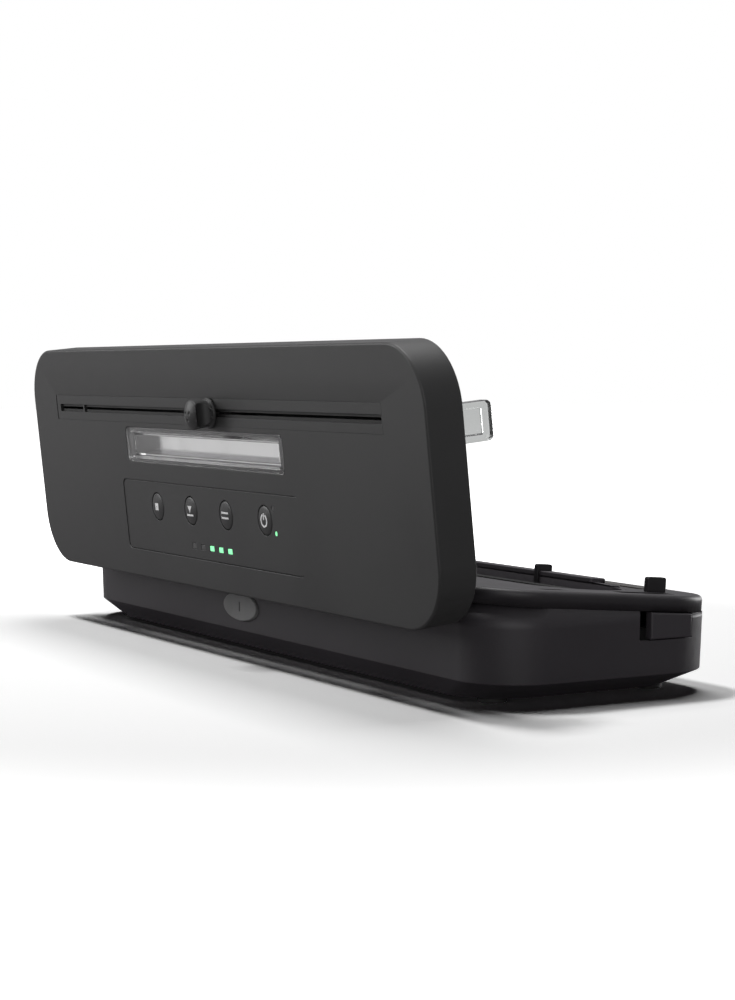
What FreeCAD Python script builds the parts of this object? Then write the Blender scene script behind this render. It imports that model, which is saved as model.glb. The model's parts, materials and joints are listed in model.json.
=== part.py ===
"""Countertop bag sealer: a low base with a vacuum well and a sealing bar, and a hinged lid that
carries the keypad, the window and a sliding bag cutter.  The lid is modelled standing open.

Row frame, millimetres: +X to the user's right, +Y to the back, +Z up.  Shapes are first made in
three local frames and then placed:
  base frame  centre of the base's outline, on the floor
  deck frame  the base frame tilted with the sloping top, z = 0 on the top surface
  lid frame   x to the user's left, y from the hinge edge to the free edge, z = 0 on the outer face
              and negative into the lid
"""
import FreeCAD, Part
import math
import os

V = FreeCAD.Vector

# ---- driving dimensions -------------------------------------------------------------------
BASE_W = 383.0            # outline of the base
BASE_D = 109.2
CORNER_R = 25.0
DECK_Z = 41.7             # height of the sloping top above the floor at the base's centre
DECK_SLOPE = 0.081        # rise per unit of depth, front to back
SHELL_SPLIT = 6.3         # upper shell's height below the top surface
WALL = 2.4
FLOOR_Z = 2.0             # underside of the lower shell
BEVEL_Z = 9.4             # top of the bevel round the underside
BEVEL_IN_X = 18.0         # how far the underside stands in from the outline
BEVEL_IN_Y = 5.5
DRAFT_IN = 0.6            # the side walls lean in by this much at the bevel
DRAFT_Z = 30.0

LID_W = 380.0
LID_L = 106.7
LID_T = 16.0
LID_SKIN = 2.6
LID_GAP = 0.8             # between the closed lid and the deck
LID_OPEN_EDGE = (74.6, 29.5)      # outer hinge-side edge of the open lid, y and z
LID_OPEN_LEAN = 6.0       # degrees past upright
PLATE_T = 3.6             # lid's inner plate

WELL_W = 349.0            # stadium-shaped vacuum well
WELL_BACK = 16.0
WELL_FRONT = -26.4
WELL_DEPTH = 11.0
LINER_T = 1.6
GASKET_W = 6.0
GASKET_X = 171.0
GASKET_BACK = 14.0
GASKET_FRONT = -19.8

RIB_W = 279.0
RIB_FRONT = -34.0
RIB_H = 2.4
LEDGE = (310.0, -30.0, 0.7)       # low step beside the rib: width, front and height
BAR_W = 320.0
BAR_BACK = -35.0
BAR_FRONT = -45.0
BAR_DEPTH = 6.0
TAPE_T = 0.4
TAB_T = 2.6

HINGE_X = 120.0
PIN_R = 1.5
PIN_CLEAR = 0.05
BARREL_R = 3.4
ARM_W = 16.0
NOTCH_SIDE = 1.2
EAR_T = 3.2

HOOK_X = (179.0, 183.6)
HOOK_L = (67.5, 82.5)
HOOK_H = 16.4
SLOT_X = (177.8, 184.8)
SLOT_Y = (-34.0, -8.0)

BUTTON_Y = (-35.8, -16.3)
BUTTON_Z = 23.3
BUTTON_H = 12.0
POCKET_Y = (-37.6, -11.7)
POCKET_IN = 9.0
BUTTON_OUT = 1.1
BUTTON_T = 3.6

WINDOW = (77.8, 54.4, 70.4)       # half width, and its span from the hinge edge
CLEAR = (72.6, 57.6, 67.5)
PANEL = (86.8, 13.2, 45.7)
PANEL_T = 1.6
PANEL_SINK = 0.3
KEY_X = {"stop_button": -50.5, "vacuum_button": -15.5, "seal_button": 19.4, "mode_button": 55.7}
KEY_L = 34.4
KEY_R = 6.1
LIGHT_L = 18.7
LIGHT_X = [-15.3 + 8.8 * i for i in range(5)]
LIGHT_HALF = (2.0, 1.1)
MODE_LIGHTS = ((64.5, 29.4), (63.5, 39.7))
RAIL = (159.1, 72.7, 84.5)
SLOT_CUT = (-155.1, 158.7, 76.5, 80.1)
RAIL_FLOOR = 1.1          # depth of the rail's groove; only the knob's thin neck goes through it
NECK_T = 0.9
RAIL_STOP_X = -126.0      # low stop across the rail's slot
BLADE_T = 0.5
BLADE_GAP = 0.55          # half width of the blade's slot in the inner plate
KNOB_X = 14.4
KNOB_L = 78.3
KNOB_R = 6.65
KNOB_H = 11.0
CAP_R = 6.5
CAP_RISE = 2.1            # height of the cap's dome

# ---- values that follow from them ----------------------------------------------------------
TILT = math.degrees(math.atan(DECK_SLOPE))
HALF_D = BASE_D / 2
DECK_BACK = HALF_D / math.cos(math.radians(TILT))
LEAN = math.radians(LID_OPEN_LEAN)
LID_UP = V(0, math.sin(LEAN), math.cos(LEAN))
LID_OUT = V(0, math.cos(LEAN), -math.sin(LEAN))
DOME_R = (CAP_R ** 2 + CAP_RISE ** 2) / (2 * CAP_RISE)
KNOB_TIP_Y = (V(0, *LID_OPEN_EDGE) + LID_UP * KNOB_L + LID_OUT * (KNOB_H - DOME_R)).y + DOME_R
ORIGIN_Y = (KNOB_TIP_Y - HALF_D) / 2     # the row's origin is the middle of the whole box


def closed_hinge_edge():
    """Outer hinge-side edge of the closed lid, in the base frame."""
    t = math.radians(TILT)
    up = V(0, -math.sin(t), math.cos(t))
    back = V(0, math.cos(t), math.sin(t))
    return V(0, 0, DECK_Z) + back * DECK_BACK + up * (LID_GAP + LID_T)


def hinge_axis():
    """Pivot and swing that carry the open lid's hinge edge to the closed one's."""
    swing = math.radians(180 + TILT) - math.radians(90 - LID_OPEN_LEAN)
    a = V(0, *LID_OPEN_EDGE)
    b = closed_hinge_edge()
    d = b - a
    side = V(0, -d.z, d.y)
    return (a + b) * 0.5 + side * (0.5 / math.tan(swing / 2)), math.degrees(swing)


PIVOT, SWING = hinge_axis()


# ---- helpers -------------------------------------------------------------------------------
def box(x0, x1, y0, y1, z0, z1):
    return Part.makeBox(x1 - x0, y1 - y0, z1 - z0, V(x0, y0, z0))


def both_sides(shape):
    """The shape and its mirror image across the middle plane x = 0."""
    return Part.Compound([shape, shape.mirror(V(0, 0, 0), V(1, 0, 0))])


def round_rect(half_x, y0, y1, radius, z):
    """A closed wire: a rectangle with round corners, centred on x = 0."""
    return round_rect_at(-half_x, half_x, y0, y1, radius, z)


def round_rect_at(x0, x1, y0, y1, radius, z):
    r = min(radius, (x1 - x0) / 2 - 0.01, (y1 - y0) / 2 - 0.01)
    s = r * (1 - math.sqrt(0.5))
    corners = [((x1 - r, y0), (x1 - s, y0 + s), (x1, y0 + r)),
               ((x1, y1 - r), (x1 - s, y1 - s), (x1 - r, y1)),
               ((x0 + r, y1), (x0 + s, y1 - s), (x0, y1 - r)),
               ((x0, y0 + r), (x0 + s, y0 + s), (x0 + r, y0))]
    edges = []
    for i, (start, mid, end) in enumerate(corners):
        before = corners[i - 1][2]
        edges.append(Part.makeLine(V(*before, z), V(*start, z)))
        edges.append(Part.Arc(V(*start, z), V(*mid, z), V(*end, z)).toShape())
    return Part.Wire(edges)


def slab(half_x, y0, y1, radius, z0, z1):
    return Part.Face(round_rect(half_x, y0, y1, radius, z0)).extrude(V(0, 0, z1 - z0))


def slab_at(x0, x1, y0, y1, radius, z0, z1):
    return Part.Face(round_rect_at(x0, x1, y0, y1, radius, z0)).extrude(V(0, 0, z1 - z0))


def ring(half_x, y0, y1, radius, width, z0, z1):
    outer = slab(half_x, y0, y1, radius, z0, z1)
    return outer.cut(slab(half_x - width, y0 + width, y1 - width, radius - width, z0, z1))


def loft(*wires):
    return Part.makeLoft(list(wires), True, True)


def outline(inset, z, inset_y=None, radius=CORNER_R):
    y = HALF_D - (inset if inset_y is None else inset_y)
    return round_rect(BASE_W / 2 - inset, -y, y, radius, z)


def inner_outline(inset, z, inset_y=None):
    return outline(inset, z, inset_y, CORNER_R - WALL)


def cylinder(radius, height, x, y, z, axis=(0, 0, 1)):
    return Part.makeCylinder(radius, height, V(x, y, z), V(*axis))


def soften(shape, radius, keep):
    """Round the edges that keep(edge) picks."""
    edges = [e for e in shape.Edges if keep(e)]
    return shape.makeFillet(radius, edges) if edges else shape


def level(edge, z):
    return all(abs(v.Z - z) < 1e-4 for v in edge.Vertexes) and abs(edge.CenterOfMass.z - z) < 1e-4


def on_deck(shape):
    """Deck frame to base frame."""
    placed = shape.copy()
    placed.rotate(V(0, 0, 0), V(1, 0, 0), TILT)
    placed.translate(V(0, 0, DECK_Z))
    return placed


def on_lid(shape):
    """Lid frame to base frame, with the lid open."""
    matrix = FreeCAD.Matrix(-1, 0, 0, 0,
                            0, LID_UP.y, LID_OUT.y, LID_OPEN_EDGE[0],
                            0, LID_UP.z, LID_OUT.z, LID_OPEN_EDGE[1],
                            0, 0, 0, 1)
    return shape.transformed(matrix, True)


def lid_point(p):
    """Base frame point to lid frame, y and z only."""
    rel = p - V(0, *LID_OPEN_EDGE)
    return rel.dot(LID_UP), rel.dot(LID_OUT)


def half_space_above(offset):
    """Everything above the deck surface shifted by offset, in the base frame."""
    return on_deck(box(-BASE_W, BASE_W, -BASE_D, BASE_D, offset, offset + 200))


nodes = {}


# ---- base shells ---------------------------------------------------------------------------
SCREW_PLACES = [(x, y) for x in (-140.0, 0.0, 140.0) for y in (-38.0, 33.0)]
POST_SPLIT = 27.0
POST_R = 4.0
SCREW_R = 1.5
HEAD_R = 3.0
HEAD_DEPTH = 2.2
FOOT_PLACES = [(x, y) for x in (-163.4, 163.4) for y in (-36.8, 36.8)]
FOOT_R = 5.7
GLAND = (13.0, 20.3, 16.4, 6.4)          # centre x, z and half sizes


def gland_prism(grow, y0, y1):
    """The oval of the cord gland, run from y0 to y1."""
    x, z, a, b = GLAND
    oval = Part.Ellipse(V(x, y0, z), a + grow, b + grow)
    edge = oval.toShape()
    edge.rotate(V(x, y0, z), V(1, 0, 0), 90)
    return Part.Face(Part.Wire([edge])).extrude(V(0, y1 - y0, 0))


def hinge_window(extra):
    """Space the hinge block takes out of the back wall."""
    half = ARM_W / 2 + NOTCH_SIDE + EAR_T + extra
    return both_sides(box(HINGE_X - half, HINGE_X + half, 43.9, HALF_D + 1, 27.0, 80))


def lower_shell():
    inner = WALL + DRAFT_IN
    outer = loft(outline(BEVEL_IN_X, FLOOR_Z, BEVEL_IN_Y), outline(DRAFT_IN, BEVEL_Z))
    outer = outer.fuse(loft(outline(DRAFT_IN, BEVEL_Z), outline(0, DRAFT_Z)))
    outer = outer.fuse(loft(outline(0, DRAFT_Z), outline(0, 60)))
    floor = inner_outline(BEVEL_IN_X + 2.0, FLOOR_Z + WALL, BEVEL_IN_Y + 2.0)
    hollow = loft(floor, inner_outline(inner, BEVEL_Z + 1.2))
    hollow = hollow.fuse(loft(inner_outline(inner, BEVEL_Z + 1.2), inner_outline(WALL, DRAFT_Z)))
    hollow = hollow.fuse(loft(inner_outline(WALL, DRAFT_Z), inner_outline(WALL, 61)))
    shell = outer.cut(hollow)
    for x, y in SCREW_PLACES:
        shell = shell.fuse(cylinder(POST_R, POST_SPLIT - FLOOR_Z - 1, x, y, FLOOR_Z + 1))
    for x, y in SCREW_PLACES:
        shell = shell.cut(cylinder(SCREW_R + 0.1, 80, x, y, 0))
        shell = shell.cut(cylinder(HEAD_R + 0.2, HEAD_DEPTH + 0.3, x, y, FLOOR_Z - 0.1))
    shell = shell.cut(half_space_above(-SHELL_SPLIT - 0.1))
    shell = shell.cut(hinge_window(0.1))
    shell = shell.cut(gland_prism(0.1, HALF_D - 6, HALF_D + 1))
    pocket = box(BASE_W / 2 - POCKET_IN, BASE_W / 2 + 1, *POCKET_Y, BUTTON_Z - 0.4, 60)
    shell = shell.cut(both_sides(pocket))
    for x, y in FOOT_PLACES:
        shell = shell.cut(cylinder(2.0, 1.0, x, y, FLOOR_Z - 0.1))
    return shell.removeSplitter()


def top_deck():
    """Upper shell, in the deck frame until it is placed."""
    depth = DECK_BACK
    outer = slab(BASE_W / 2, -depth, depth, CORNER_R, -SHELL_SPLIT, 0)
    outer = soften(outer, 2.0, lambda e: level(e, 0) and e.CenterOfMass.y < depth - 0.1)
    hollow = slab(BASE_W / 2 - WALL, -depth + WALL, depth - WALL, CORNER_R - WALL, -SHELL_SPLIT - 1, -WALL)
    deck = outer.cut(hollow)
    channel = box(-BAR_W / 2 - 1.8, BAR_W / 2 + 1.8, BAR_FRONT - 1.8, BAR_BACK + 1.8, -BAR_DEPTH - 1.8, -1)
    deck = deck.fuse(channel)
    curb = box(SLOT_X[0] - 1.2, SLOT_X[1] + 1.2, SLOT_Y[0] - 1.2, SLOT_Y[1] + 1.2, -SHELL_SPLIT, -1)
    deck = deck.fuse(both_sides(curb).Solids[0]).fuse(both_sides(curb).Solids[1])
    deck = deck.cut(box(-BAR_W / 2, BAR_W / 2, BAR_FRONT, BAR_BACK, -BAR_DEPTH, 1))
    deck = deck.cut(slab(WELL_W / 2 + LINER_T + 0.1, WELL_FRONT - LINER_T - 0.1, WELL_BACK + LINER_T + 0.1,
                         100, -20, 1))
    deck = deck.cut(both_sides(slab_at(*SLOT_X, *SLOT_Y, 1.5, -20, 1)))
    deck = deck.cut(both_sides(slab_at(178.5, 182.5, 15.0, 27.0, 1.9, -1.6, 1)))
    deck = on_deck(deck)
    for x, y in SCREW_PLACES:
        post = cylinder(POST_R, 60, x, y, POST_SPLIT + 0.1).cut(half_space_above(-WALL))
        if y < 0:
            post = post.cut(half_space_above(-BAR_DEPTH - 1.8))
        deck = deck.fuse(post)
        deck = deck.cut(cylinder(SCREW_R - 0.1, 10, x, y, POST_SPLIT - 1))
    half = ARM_W / 2 + NOTCH_SIDE
    deck = deck.cut(both_sides(box(HINGE_X - half, HINGE_X + half, 44.6, HALF_D + 1, 20, 60)))
    return deck.removeSplitter()


nodes["base_lower_shell"] = lower_shell()
nodes["base_top_deck"] = top_deck()


# ---- vacuum well, gasket and sealing bar -----------------------------------------------------
PORT_X = -60.0
PORT_Y = -5.0
PORT_R = 3.0


def chamber_liner():
    outer = slab(WELL_W / 2 + LINER_T, WELL_FRONT - LINER_T, WELL_BACK + LINER_T, 100,
                 -WELL_DEPTH - LINER_T, 0)
    hollow = slab(WELL_W / 2, WELL_FRONT, WELL_BACK, 100, -WELL_DEPTH, 1)
    liner = outer.cut(hollow)
    liner = liner.fuse(cylinder(PORT_R + 1.4, 7, PORT_X, PORT_Y, -WELL_DEPTH - 5.0))
    liner = liner.cut(cylinder(PORT_R - 1.0, 20, PORT_X, PORT_Y, -WELL_DEPTH - 10))
    return on_deck(liner.removeSplitter())


nodes["chamber_liner"] = chamber_liner()
GASKET_Y = (GASKET_FRONT, GASKET_BACK)
nodes["lower_gasket"] = on_deck(ring(GASKET_X, *GASKET_Y, 100, GASKET_W, -WELL_DEPTH, -2.2))
bar = box(-BAR_W / 2 + 0.2, BAR_W / 2 - 0.2, BAR_FRONT + 0.2, BAR_BACK - 0.2, -BAR_DEPTH, -0.2)
bar = bar.cut(box(-BAR_W / 2 + 6, BAR_W / 2 - 6, -43.0, -37.0, -BAR_DEPTH - 1, -2.4))
nodes["sealing_bar"] = on_deck(bar)
nodes["heating_strip"] = on_deck(box(-BAR_W / 2 + 3, BAR_W / 2 - 3, -41.5, -38.5, -0.2, 0))
tape = slab(BAR_W / 2, BAR_FRONT + 0.6, BAR_BACK - 0.6, 1, -0.2, TAPE_T)
nodes["release_tape"] = on_deck(tape.cut(box(-BAR_W / 2 + 3, BAR_W / 2 - 3, -41.5, -38.5, -0.2, 0)))

rib = slab(RIB_W / 2, RIB_FRONT, WELL_FRONT, 1.0, 0, RIB_H)
rib = soften(rib, 0.5, lambda e: level(e, RIB_H))
rib = rib.fuse(slab(LEDGE[0] / 2, LEDGE[1], WELL_FRONT, 1.0, 0, LEDGE[2])).removeSplitter()
nodes["bag_guide_rib"] = on_deck(rib)


def guide_tab(x, y0, y1, z0, z1):
    """Upright tab with its two top corners rounded."""
    tab = box(x - TAB_T / 2, x + TAB_T / 2, y0, y1, z0, z1)
    tops = [e for e in tab.Edges if level(e, z1) and abs(e.Vertexes[0].X - e.Vertexes[1].X) > 1]
    return tab.makeFillet(1.0, tops)


inner_tab = guide_tab(102.0, -32.8, -25.3, RIB_H, 5.2)
lip_x = (102.0 - TAB_T / 2, 102.0 + TAB_T / 2)
inner_tab = inner_tab.fuse(box(*lip_x, WELL_FRONT + 0.05, -25.3, -3.0, RIB_H + 0.5))
outer_tab = guide_tab(175.0, -35.7, -26.8, 0, 5.9)
tabs = both_sides(inner_tab.removeSplitter()).Solids + both_sides(outer_tab).Solids
nodes["bag_guide_tabs"] = on_deck(Part.Compound(tabs))


# ---- hinge -----------------------------------------------------------------------------------
def hinge_bracket():
    """U-shaped block that holds the pin in two ears."""
    half = ARM_W / 2 + NOTCH_SIDE
    full = half + EAR_T
    block = box(HINGE_X - full, HINGE_X + full, 44.0, HALF_D - 0.2, 27.2, 39.0)
    slot_z = PIVOT.z - BARREL_R - 0.35
    block = block.cut(box(HINGE_X - half, HINGE_X + half, 43.0, HALF_D + 1, slot_z, 60))
    return block.cut(cylinder(PIN_R, 2 * full + 2, HINGE_X - full - 1, PIVOT.y, PIVOT.z, (1, 0, 0)))


nodes["hinge_brackets"] = both_sides(hinge_bracket())
PIN_HALF = ARM_W / 2 + NOTCH_SIDE + EAR_T
nodes["hinge_pins"] = both_sides(cylinder(PIN_R, 2 * PIN_HALF, HINGE_X - PIN_HALF, PIVOT.y, PIVOT.z, (1, 0, 0)))


def hinge_arm():
    """Arm from the lid's inner plate to a barrel on the pin, in the lid frame."""
    y, z = lid_point(PIVOT)
    arm = box(HINGE_X - ARM_W / 2, HINGE_X + ARM_W / 2, y - 2.8, y + 2.8, z, -LID_T)
    arm = arm.fuse(cylinder(BARREL_R, ARM_W, HINGE_X - ARM_W / 2, y, z, (1, 0, 0)))
    arm = arm.cut(cylinder(PIN_R + PIN_CLEAR, ARM_W + 2, HINGE_X - ARM_W / 2 - 1, y, z, (1, 0, 0)))
    return arm.removeSplitter()


nodes["hinge_arms"] = on_lid(both_sides(hinge_arm()))


# ---- underside and back ----------------------------------------------------------------------
def foot(x, y):
    pad = cylinder(FOOT_R, FLOOR_Z, x, y, 0)
    pad = soften(pad, 0.8, lambda e: level(e, 0))
    return pad.fuse(cylinder(1.9, 0.8, x, y, FLOOR_Z)).removeSplitter()


def screw(x, y, z, length, flip=1):
    head = cylinder(HEAD_R, HEAD_DEPTH - 0.4, x, y, z, (0, 0, flip))
    shaft = cylinder(SCREW_R - 0.1, length, x, y, z, (0, 0, flip))
    body = head.fuse(shaft).removeSplitter()
    cross = box(x - 1.8, x + 1.8, y - 0.35, y + 0.35, z - 0.8, z + 0.8)
    turned = box(x - 0.35, x + 0.35, y - 1.8, y + 1.8, z - 0.8, z + 0.8)
    return body.cut(cross).cut(turned)


def cord_gland():
    """Oval bush in the back wall, domed a little, with a slit for the cord."""
    body = gland_prism(0, HALF_D - 5, HALF_D + 0.9)
    outer_face_y = HALF_D + 0.9
    rim = [e for e in body.Edges if abs(e.CenterOfMass.y - outer_face_y) < 0.01]
    body = body.makeFillet(0.7, rim)
    x, z, _, b = GLAND
    return body.cut(box(x - 0.4, x + 0.4, HALF_D - 1, HALF_D + 2, z - b / 3, z + b / 3))


nodes["rubber_feet"] = Part.Compound([foot(x, y) for x, y in FOOT_PLACES])
nodes["base_screws"] = Part.Compound([screw(x, y, FLOOR_Z + 0.4, 28.0) for x, y in SCREW_PLACES])
nodes["cord_gland"] = cord_gland()


# ---- works inside the base -------------------------------------------------------------------
INSIDE_Z = FLOOR_Z + WALL
PUMP_Y = 28.5
PUMP_Z = INSIDE_Z + 14.5
PUMP_R = 12.0
HEAD_TOP = PUMP_Z + 9.5


def pump_cradle():
    seat = box(-56, -14, PUMP_Y - 13.5, PUMP_Y + 13.5, INSIDE_Z, PUMP_Z - 4)
    return seat.cut(cylinder(PUMP_R + 0.1, 60, -60, PUMP_Y, PUMP_Z, (1, 0, 0)))


def suction_hose():
    """Tube from the well's port to the pump head: straight runs joined by arcs."""
    t = math.radians(TILT)
    depth = -WELL_DEPTH - 5.0
    up_slope = V(0, math.cos(t), math.sin(t))
    outward = V(0, -math.sin(t), math.cos(t))
    start = V(PORT_X, 0, DECK_Z) + up_slope * PORT_Y + outward * depth
    down = V(0, math.sin(t), -math.cos(t))
    bend = 7.0
    low = start + down * 2.0
    turn = low + down * bend + V(0, bend, 0)
    middle = low + V(0, bend, 0) + (down * math.sqrt(0.5) - V(0, math.sqrt(0.5), 0)) * bend
    end = V(PORT_X, PUMP_Y - 14.0, turn.z)
    path = Part.Wire([Part.makeLine(start, low), Part.Arc(low, middle, turn).toShape(),
                      Part.makeLine(turn, end)])
    tubes = []
    for radius in (PORT_R, PORT_R - 1.0):
        section = Part.Wire([Part.makeCircle(radius, start, down)])
        tubes.append(path.makePipeShell([section], True, False))
    return tubes[0].cut(tubes[1])


motor = cylinder(PUMP_R, 42, -56, PUMP_Y, PUMP_Z, (1, 0, 0))
motor = motor.fuse(cylinder(4.0, 3, -14, PUMP_Y, PUMP_Z, (1, 0, 0)))
nodes["pump_motor"] = motor.removeSplitter()
head = box(-86, -56.2, PUMP_Y - 13.9, PUMP_Y + 13.5, INSIDE_Z, HEAD_TOP)
head = head.fuse(cylinder(5.0, 6, -92, PUMP_Y, PUMP_Z, (1, 0, 0)))
nodes["pump_head"] = soften(head, 1.5, lambda e: level(e, HEAD_TOP)).removeSplitter()
nodes["pump_cradle"] = pump_cradle()
nodes["suction_hose"] = suction_hose()
nodes["vent_valve"] = cylinder(5.0, 14, 26, PUMP_Y, INSIDE_Z).fuse(cylinder(1.8, 6, 26, PUMP_Y, INSIDE_Z + 14))
core = box(72, 104, 16, 42, INSIDE_Z, INSIDE_Z + 23)
coil = box(78, 98, 12.5, 45.5, INSIDE_Z + 5, INSIDE_Z + 19)
nodes["transformer"] = core.fuse(coil).removeSplitter()


def power_board():
    board = box(10, 108, -34, 8, INSIDE_Z + 3, INSIDE_Z + 4.6)
    for x, y, r, h in ((24, -20, 5, 13), (38, -20, 5, 13), (24, -4, 3, 9)):
        board = board.fuse(cylinder(r, h, x, y, INSIDE_Z + 4.6))
    for x in (52, 68, 84):
        board = board.fuse(box(x, x + 11, -28, -14, INSIDE_Z + 4.6, INSIDE_Z + 12))
    for x, y in ((14, -30), (104, -30), (14, 4), (104, 4)):
        board = board.fuse(cylinder(2.4, 3, x, y, INSIDE_Z))
    return board.removeSplitter()


nodes["power_board"] = power_board()
nodes["lid_switches"] = both_sides(box(163, 169, -14, -2, INSIDE_Z, INSIDE_Z + 12))


# ---- side release buttons --------------------------------------------------------------------
STEM_X = 170.0
STEM_Z = (16.0, 20.5)
CATCH_Y = (-34.8, -30.5)


def release_button():
    """Push button on the user's left side (negative x), in the base frame."""
    face_x = BASE_W / 2 + BUTTON_OUT
    body = box(face_x - BUTTON_T, face_x, *BUTTON_Y, BUTTON_Z, BUTTON_Z + BUTTON_H)
    body = body.cut(half_space_above(-SHELL_SPLIT - 0.35))
    body = body.makeFillet(0.8, [e for e in body.Edges if abs(e.CenterOfMass.x - face_x) < 0.01])
    return body.mirror(V(0, 0, 0), V(1, 0, 0))


def latch_catch():
    """Slider behind the button: passes in front of the hook and ends in an upright finger."""
    face_x = BASE_W / 2 + BUTTON_OUT - BUTTON_T
    plate = box(face_x - 1.4, face_x, *CATCH_Y, BUTTON_Z + 0.4, BUTTON_Z + 8)
    riser = box(face_x - 3.4, face_x - 1.4, *CATCH_Y, STEM_Z[0], BUTTON_Z + 8)
    upper = plate.fuse(riser).cut(half_space_above(-SHELL_SPLIT - 1))
    stem = box(STEM_X, face_x - 3.4, *CATCH_Y, *STEM_Z)
    finger = box(STEM_X, STEM_X + 4.5, CATCH_Y[0], -16.0, STEM_Z[0], STEM_Z[1] + 5.0)
    return upper.fuse(stem).fuse(finger).removeSplitter().mirror(V(0, 0, 0), V(1, 0, 0))


def latch_spring():
    """Coil spring between a wall post and the slider's inner end."""
    turns = 6
    length = 9.0
    wire_r = 0.4
    coil_r = 2.2
    helix = Part.makeHelix(length / turns, length, coil_r)
    profile = Part.Wire([Part.makeCircle(wire_r, V(coil_r, 0, 0), V(0, 1, 0))])
    spring = Part.Wire(helix).makePipeShell([profile], True, True)
    spring.rotate(V(0, 0, 0), V(0, 1, 0), 90)
    spring.translate(V(-STEM_X + wire_r, -26.0, (STEM_Z[0] + STEM_Z[1]) / 2))
    return spring


nodes["release_button_left"] = release_button()
nodes["latch_catch_left"] = latch_catch()
nodes["latch_spring_left"] = latch_spring()
for part in ("release_button", "latch_catch", "latch_spring"):
    nodes[part + "_right"] = nodes[part + "_left"].mirror(V(0, 0, 0), V(1, 0, 0))
stop = box(156.5, 160.0, -31.0, -21.0, INSIDE_Z, STEM_Z[1] + 2)
nodes["spring_posts"] = both_sides(stop)


# ---- lid ---------------------------------------------------------------------------------------
LID_SCREWS = [(-150.0, 7.0), (0.0, 7.0), (150.0, 7.0), (-172.0, 97.0), (172.0, 97.0)]


def lid_cover():
    outer = slab(LID_W / 2, 0, LID_L, CORNER_R, -LID_T, 0)
    outer = soften(outer, 1.0, lambda e: level(e, 0))
    side = 2.4
    cover = outer.cut(slab(LID_W / 2 - side, side, LID_L - side, CORNER_R - side, -LID_T - 1, -LID_SKIN))
    half, y0, y1 = WINDOW
    cover = cover.cut(slab(half + 0.1, y0 - 0.1, y1 + 0.1, 2.6, -LID_SKIN - 1, 1))
    half, y0, y1 = PANEL
    cover = cover.cut(slab(half + 0.15, y0 - 0.15, y1 + 0.15, 3.2, -PANEL_T - PANEL_SINK, 1))
    cover = cover.cut(slab(half - 2, y0 + 2, y1 - 2, 2, -LID_SKIN - 1, 1))
    half, y0, y1 = RAIL
    cover = cover.cut(slab_at(-half - 0.9, half + 0.1, y0 - 0.1, y1 + 0.1, 0.6, -1.9, 1))
    cover = cover.cut(box(-half + 3, half - 0.3, KNOB_L - 2.6, KNOB_L + 2.6, -LID_SKIN - 1, 1))
    return cover.removeSplitter()


TUNNEL_T = 1.6
RIB_GROOVE = (DECK_BACK - WELL_FRONT - 0.9, DECK_BACK - RIB_FRONT + 1.7)
STRIP = (91.3, 99.5)


def lid_inner_plate():
    clear = 0.15
    side = 2.4 + clear
    top = -LID_T + PLATE_T
    plate = slab(LID_W / 2 - side, side, LID_L - side, CORNER_R - side, -LID_T, top)
    half, y0, y1 = WINDOW
    tunnel = slab(half - 1.2, y0 + 1.2, y1 - 1.2, 2, -LID_T, -LID_SKIN - 0.1)
    plate = plate.fuse(tunnel)
    plate = plate.cut(slab(CLEAR[0], CLEAR[1] - 0.4, CLEAR[2] + 0.4, 1.6, -LID_T - 1, 1))
    plate = plate.cut(box(-RIB_W / 2 - 2.5, RIB_W / 2 + 2.5, *RIB_GROOVE, -LID_T - 1, -LID_T + 2.4))
    half = LEDGE[0] / 2 + 1.5
    plate = plate.cut(box(-half, half, RIB_GROOVE[0], 87.0, -LID_T - 1, -LID_T + 1.0))
    plate = plate.cut(both_sides(box(97.5, 106.5, 78.6, RIB_GROOVE[1], -LID_T - 1, top + 1)))
    plate = plate.cut(both_sides(box(171.5, 178.8, 79.0, 93.0, -LID_T - 1, top + 1)))
    plate = plate.cut(slab(BAR_W / 2 + 0.2, STRIP[0] - 0.2, STRIP[1] + 0.2, 1, -LID_T - 1, -LID_T + 2.0))
    plate = plate.cut(slab_at(RAIL_STOP_X, SLOT_CUT[1], KNOB_L - BLADE_GAP, KNOB_L + BLADE_GAP, 0.5,
                              -LID_T - 1, top + 1))
    outer_y = (DECK_BACK - GASKET_BACK, DECK_BACK - GASKET_FRONT)
    plate = plate.cut(ring(GASKET_X + 0.1, outer_y[0] - 0.1, outer_y[1] + 0.1, 100, GASKET_W + 0.2,
                           -LID_T - 1, -LID_T + 1.8))
    for x, y in LID_SCREWS:
        plate = plate.cut(cylinder(SCREW_R + 0.1, 20, x, y, -LID_T - 1))
        plate = plate.cut(cylinder(HEAD_R + 0.2, HEAD_DEPTH, x, y, -LID_T - 0.1))
    return plate.removeSplitter()


def upper_gasket():
    y0 = DECK_BACK - GASKET_BACK
    y1 = DECK_BACK - GASKET_FRONT
    body = ring(GASKET_X, y0, y1, 100, GASKET_W, -LID_T - 1.9 - LID_GAP + 0.3, -LID_T + 1.8)
    return body


def window_lens():
    """Dished clear lens with a skirt that lines the opening through the lid."""
    half, y0, y1 = WINDOW
    lens = slab(half, y0, y1, 2.5, -LID_SKIN, -0.1)
    dish = loft(round_rect(half - 1.6, y0 + 1.2, y1 - 1.2, 1.6, 0.1), round_rect(*CLEAR, 1.0, -1.1))
    wide, low, high = CLEAR
    skirt = slab(wide - 0.1, low - 0.3, high + 0.3, 1.5, -LID_T + 0.3, -LID_SKIN)
    skirt = skirt.cut(slab(wide - 1.1, low + 0.7, high - 0.7, 0.8, -LID_T, 0))
    return lens.cut(dish).fuse(skirt).removeSplitter()


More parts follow.
